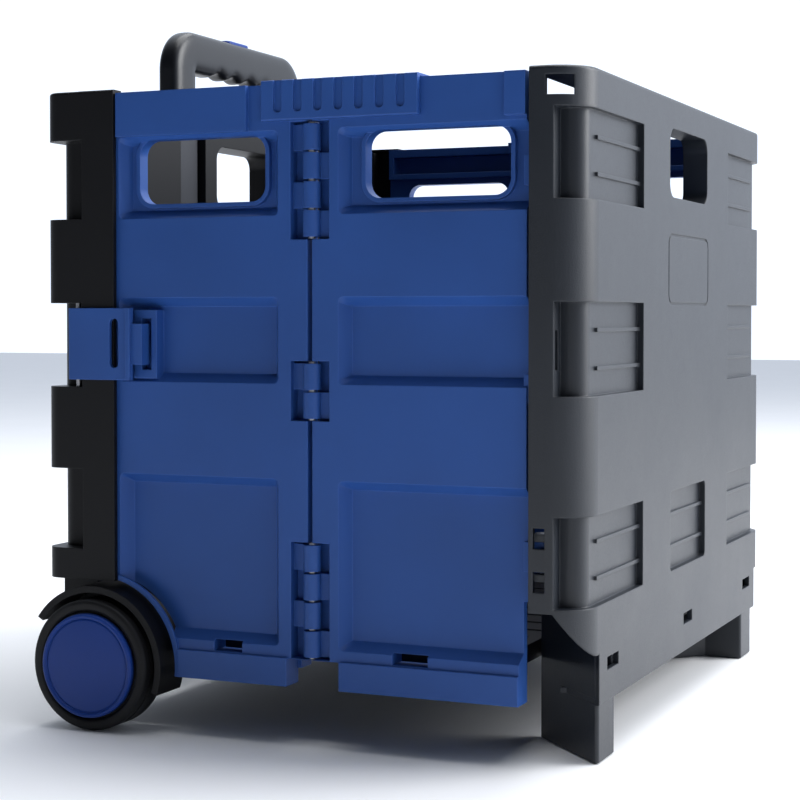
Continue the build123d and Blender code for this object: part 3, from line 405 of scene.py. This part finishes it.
# ------------------------------------------------------------------ sub-assemblies
@dataclass
class Wheel:
    """One wheel's tyre and cap as turned surfaces, sized from their CAD nodes."""

    side: Side
    shoulder: float = 2.6 * MM
    groove: float = 0.8 * MM
    tread: tuple[float, float] = (0.16, 0.84)
    tread_steps: int = 61
    groove_gain: float = 6.0
    groove_cut: float = 4.8
    dome: float = 1.3 * MM
    dome_steps: int = 24
    dome_margin: float = 3.2 * MM
    rim: float = 1.5 * MM
    rim_inset: float = 1.7 * MM
    rim_drop: float = 1.9 * MM
    rim_steps: int = 10
    step: float = 0.2 * MM
    lip: float = 0.8 * MM
    hollow: tuple[float, float] = (12.0 * MM, 2.4 * MM)

    def centre(self) -> tuple[float, float, float]:
        """The wheel's centre, from the tyre's box."""
        low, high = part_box(f"wheel_tyre_{self.side.word}")
        return ((low[0] + high[0]) / 2, 0.0, (low[2] + high[2]) / 2)

    def tyre(self) -> Any:
        """The tyre: a band with rounded shoulders and two tread grooves.

        The tread is lowered by the groove's depth times cos(6 pi w) * gain - cut, held between 0
        and 1, where w runs from 0 to 1 across the width. That leaves grooves at a third and at
        two thirds. Section points are put in order by their angle about the section's middle.

        Returns:
            The new object.
        """
        low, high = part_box(f"wheel_tyre_{self.side.word}")
        hub_low, hub_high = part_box(f"wheel_hub_{self.side.word}")
        outer, inner = (high[2] - low[2]) / 2, (hub_high[2] - hub_low[2]) / 2
        outline = rounded_outline((inner, low[1]), (outer, high[1]), self.shoulder, 8)
        across = np.linspace(*self.tread, self.tread_steps)
        wave = np.clip(np.cos(6.0 * pi * across) * self.groove_gain - self.groove_cut, 0.0, 1.0)
        tread = np.stack([outer - self.groove * wave, low[1] + (high[1] - low[1]) * across], axis=-1)
        points = np.concatenate([outline, tread])
        middle = outline.mean(axis=0)
        angle = np.arctan2(points[:, 1] - middle[1], points[:, 0] - middle[0])
        return turned(f"tyre_surface_{self.side.word}", points[np.argsort(angle)], self.centre())

    def cap(self) -> Any:
        """The cap: a shallow dome inside a small rolled rim, with a hollow back.

        The dome falls by its height times the square of the share of its radius. The rim is half
        a circle, (cos a, sin a) times its radius for a from pi to 0.

        Returns:
            The new object.
        """
        low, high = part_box(f"wheel_cap_{self.side.word}")
        radius = (high[2] - low[2]) / 2
        sign = self.side.value
        face, back = (high[1], low[1]) if sign > 0 else (low[1], high[1])
        share = np.linspace(0.0, 1.0, self.dome_steps)
        dome_y = face - sign * self.dome * share ** 2 - sign * self.step
        dome_r = share * (radius - self.dome_margin)
        a = np.linspace(pi, 0.0, self.rim_steps)
        rim_r = radius - self.rim_inset + self.rim * np.cos(a)
        rim_y = face - sign * self.rim_drop + sign * self.rim * np.sin(a)
        front = np.stack([np.concatenate([dome_r, rim_r, [radius - self.step]]),
                          np.concatenate([dome_y, rim_y, [back + sign * self.step]])], axis=-1)
        hollow_r, hollow_deep = self.hollow
        inside = np.array([[radius - self.lip, back], [hollow_r, back],
                           [hollow_r, back + sign * hollow_deep], [0.0, back + sign * hollow_deep]])
        return turned(f"cap_surface_{self.side.word}", np.concatenate([front, inside]), self.centre())

    def build(self, wardrobe: Wardrobe) -> None:
        """Makes both pieces, rides them on the wheel and dresses them."""
        for piece, node, slot in ((self.tyre(), "wheel_tyre", "tyre_black"),
                                  (self.cap(), "wheel_cap", "blue_gloss")):
            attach(piece, f"wheel_{self.side.word}")
            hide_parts(f"{node}_{self.side.word}")
            wardrobe.dress(piece, slot)
            LOG.info("%s: %d faces", piece.name, len(piece.data.polygons))


@dataclass
class Grip:
    """The U-shaped grip: an oval section carried round the U, with finger waves under the bar."""

    path_steps: int = 260
    section_steps: int = 48
    finger_pitch: float = 21.0 * MM
    finger_depth: float = 3.0 * MM
    squareness: float = 3.4
    bar_high: float = 27.0 * MM
    leg_wide: float = 28.0 * MM
    bend: float = 13.0 * MM
    fade_past: float = 4.0 * MM
    fade_over: float = 6.0 * MM
    level_power: int = 8

    def path(self) -> tuple[np.ndarray, np.ndarray]:
        """The centre line of the U in Y and Z, and the outward normal along it.

        Two straight legs and a bar joined by quarter circles, taken at even steps of length.

        Returns:
            Two arrays of shape (steps, 2): the points, in metres, and the unit normals.
        """
        low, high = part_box("handle_grip")
        half = high[1] - self.leg_wide / 2
        top = high[2] - self.bar_high / 2
        bend = self.bend
        leg = top - bend - low[2]
        bar = 2.0 * (half - bend)
        arc = bend * pi / 2
        total = 2 * leg + 2 * arc + bar
        s = np.linspace(0.0, total, self.path_steps)
        a1 = np.clip((s - leg) / arc, 0.0, 1.0) * pi / 2
        a2 = np.clip((s - leg - arc - bar) / arc, 0.0, 1.0) * pi / 2
        up = np.minimum(s, leg)
        over = np.clip(s - leg - arc, 0.0, bar)
        down = np.clip(s - 2 * arc - leg - bar, 0.0, leg)
        y = -half + bend * (1 - np.cos(a1)) + over + bend * np.sin(a2)
        z = low[2] + up + bend * np.sin(a1) - bend * (1 - np.cos(a2)) - down
        turn = a1 + a2
        return np.stack([y, z], axis=-1), np.stack([-np.cos(turn), np.sin(turn)], axis=-1)

    def build(self, wardrobe: Wardrobe) -> None:
        """Makes the grip.

        The section is a superellipse: each half-width times the signed power 2/n of cos and sin.
        On the inner side of the bar it is drawn in by a cosine wave, one hollow a finger.
        """
        low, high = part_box("handle_grip")
        centre, outward = self.path()
        depth = (high[0] - low[0]) / 2
        a = np.linspace(0.0, 2 * pi, self.section_steps, endpoint=False)
        across = np.sign(np.cos(a)) * np.abs(np.cos(a)) ** (2 / self.squareness)
        out = np.sign(np.sin(a)) * np.abs(np.sin(a)) ** (2 / self.squareness)
        level = np.clip(outward[:, 1], 0.0, 1.0)[:, None]
        half_out = self.leg_wide / 2 * (1 - level) + self.bar_high / 2 * level
        y = centre[:, 0][:, None]
        reach = 2.0 * self.finger_pitch
        fade = np.clip((reach + self.fade_past - np.abs(y)) / self.fade_over, 0.0, 1.0)
        fade = fade * level ** self.level_power
        wave = self.finger_depth * (0.5 - 0.5 * np.cos(2 * pi * y / self.finger_pitch)) * fade
        inner = np.clip(-out, 0.0, 1.0)[None, :]
        shift = half_out * out[None, :] + wave * inner
        points = np.stack([np.broadcast_to((low[0] + high[0]) / 2 + depth * across[None, :], shift.shape),
                           y + outward[:, 0][:, None] * shift,
                           centre[:, 1][:, None] + outward[:, 1][:, None] * shift], axis=-1)
        points[..., 2] = np.maximum(points[..., 2], low[2])
        piece = lattice("grip_surface", points, wrap_u=False, wrap_v=True, caps=True)
        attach(piece, "grip")
        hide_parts("handle_grip")
        wardrobe.dress(piece, "grip_grey")
        LOG.info("%s: %d faces", piece.name, len(piece.data.polygons))


@dataclass
class ButtonSpring:
    """The coil under the grip button, in place of its plain sleeve."""

    turns: float = 5.0
    wire: float = 0.35 * MM
    travel: float = 3.0 * MM
    steps: int = 240

    def build(self, wardrobe: Wardrobe) -> None:
        """A round wire carried along a helix: (r cos t, r sin t, rise times t)."""
        low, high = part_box("button_spring")
        radius = (high[0] - low[0]) / 2 - self.wire
        t = np.linspace(0.0, self.turns * 2 * pi, self.steps)[:, None]
        a = np.linspace(0.0, 2 * pi, 8, endpoint=False)[None, :]
        reach = radius + self.wire * np.cos(a)
        bottom, top = low[2] + self.wire, high[2] - self.wire
        rise = bottom + (top - bottom) * t / (self.turns * 2 * pi)
        points = np.stack([(low[0] + high[0]) / 2 + reach * np.cos(t),
                           (low[1] + high[1]) / 2 + reach * np.sin(t),
                           rise + self.wire * np.sin(a)], axis=-1)
        piece = lattice("spring_coil", points, wrap_u=False, wrap_v=True, caps=True)
        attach(piece, "grip")
        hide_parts("button_spring")
        wardrobe.dress(piece, "steel")
        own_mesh(piece)
        LOG.info("%s: %d faces", piece.name, len(piece.data.polygons))


@dataclass
class Studio:
    """Pale floor, soft lights and the camera."""

    floor_reach: float = 9.0
    floor_drop: float = 0.4 * MM
    aim: tuple[float, float, float] = (0.0, 0.0, 0.2)
    focal: float = 82.47
    sensor: float = 36.0
    place: tuple[float, float, float] = (0.4608, -1.1180, 0.2402)
    turn: float = 23.46
    dip: float = 1.43
    shift: tuple[float, float] = (-0.0071, -0.0473)
    glow: float = 1.25
    dim: float = 0.03
    slope: tuple[float, float, float] = (0.42, 1.26, 0.56)
    tint: tuple[float, float, float, float] = (0.84, 0.92, 1.06, 1.0)
    softboxes: tuple[tuple[tuple[float, float, float], float, float], ...] = (
        ((2.4, 1.2, 1.4), 1.8, 80.0),
        ((0.3, 0.6, 2.6), 2.4, 62.0),
    )

    def camera(self) -> None:
        """The camera, level but for a small dip, and turned from straight ahead."""
        data = bpy.data.cameras.new("camera")
        data.lens, data.sensor_width = self.focal, self.sensor
        data.shift_x, data.shift_y = self.shift
        data.clip_end = 50.0
        camera = bpy.data.objects.new("camera", data)
        camera.location = self.place
        camera.rotation_euler = (radians(90.0 - self.dip), 0.0, radians(self.turn))
        bpy.context.scene.collection.objects.link(camera)
        bpy.context.scene.camera = camera

    def floor(self) -> None:
        """A large pale floor under the wheels."""
        reach = np.array([-self.floor_reach, self.floor_reach])
        x, y = np.meshgrid(reach, reach, indexing="ij")
        points = np.stack([x, y, np.full_like(x, -self.floor_drop)], axis=-1)
        floor = lattice("studio_floor", points, wrap_u=False, wrap_v=False)
        graph = Graph(bpy.data.materials.new("finish_floor"))
        place = graph.node("ShaderNodeTexCoord").outputs["Object"]
        speck = graph.value("ShaderNodeTexNoise", {}, {"Vector": place, "Scale": 6.0})
        tone = graph.mix(speck, (0.90, 0.90, 0.90, 1.0), (0.94, 0.94, 0.94, 1.0))
        shader = graph.node("ShaderNodeBsdfPrincipled", {}, {"Base Color": tone, "Roughness": 0.9})
        graph.node("ShaderNodeOutputMaterial", {}, {"Surface": shader.outputs[0]})
        floor.data.materials.append(graph.owner)

    def lights(self) -> None:
        """Square softboxes that face the middle of the cart, in a surround bright on one side.

        The surround's strength is a slope in the direction's Y and X, held between 0 and 1, so
        that the left and front are lit and the right side is seen in its own shade.
        """
        aim = Vector(self.aim)
        for index, (place, size, power) in enumerate(self.softboxes):
            data = bpy.data.lights.new(f"softbox_{index}", "AREA")
            data.size, data.energy = size, power
            light = bpy.data.objects.new(data.name, data)
            light.location = place
            light.rotation_euler = (aim - light.location).to_track_quat("-Z", "Y").to_euler()
            bpy.context.scene.collection.objects.link(light)
        world = bpy.data.worlds.new("surround")
        graph = Graph(world)
        way = graph.node("ShaderNodeTexCoord").outputs["Generated"]
        axes = graph.node("ShaderNodeSeparateXYZ", {}, {0: way})
        x, y = Value(graph, axes.outputs[0]), Value(graph, axes.outputs[1])
        slope_x, slope_y, lift = self.slope
        glow = (y * slope_y + x * slope_x + lift).clamped() * self.glow + self.dim
        light = graph.node("ShaderNodeBackground", {}, {"Color": self.tint, "Strength": glow})
        graph.node("ShaderNodeOutputWorld", {}, {"Surface": light.outputs[0]})
        bpy.context.scene.world = world

    def build(self) -> None:
        """Sets up the whole studio, with colours shown as they are lit."""
        bpy.context.scene.view_settings.view_transform = "Standard"
        self.camera()
        self.floor()
        self.lights()


def main() -> None:
    """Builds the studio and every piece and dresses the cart."""
    logging.basicConfig(level=logging.INFO)
    Studio().build()
    wardrobe = Wardrobe()
    wardrobe.dress_nodes()
    for side in Side:
        Wheel(side).build(wardrobe)
    Grip().build(wardrobe)
    ButtonSpring().build(wardrobe)


if __name__ == "__main__":
    main()
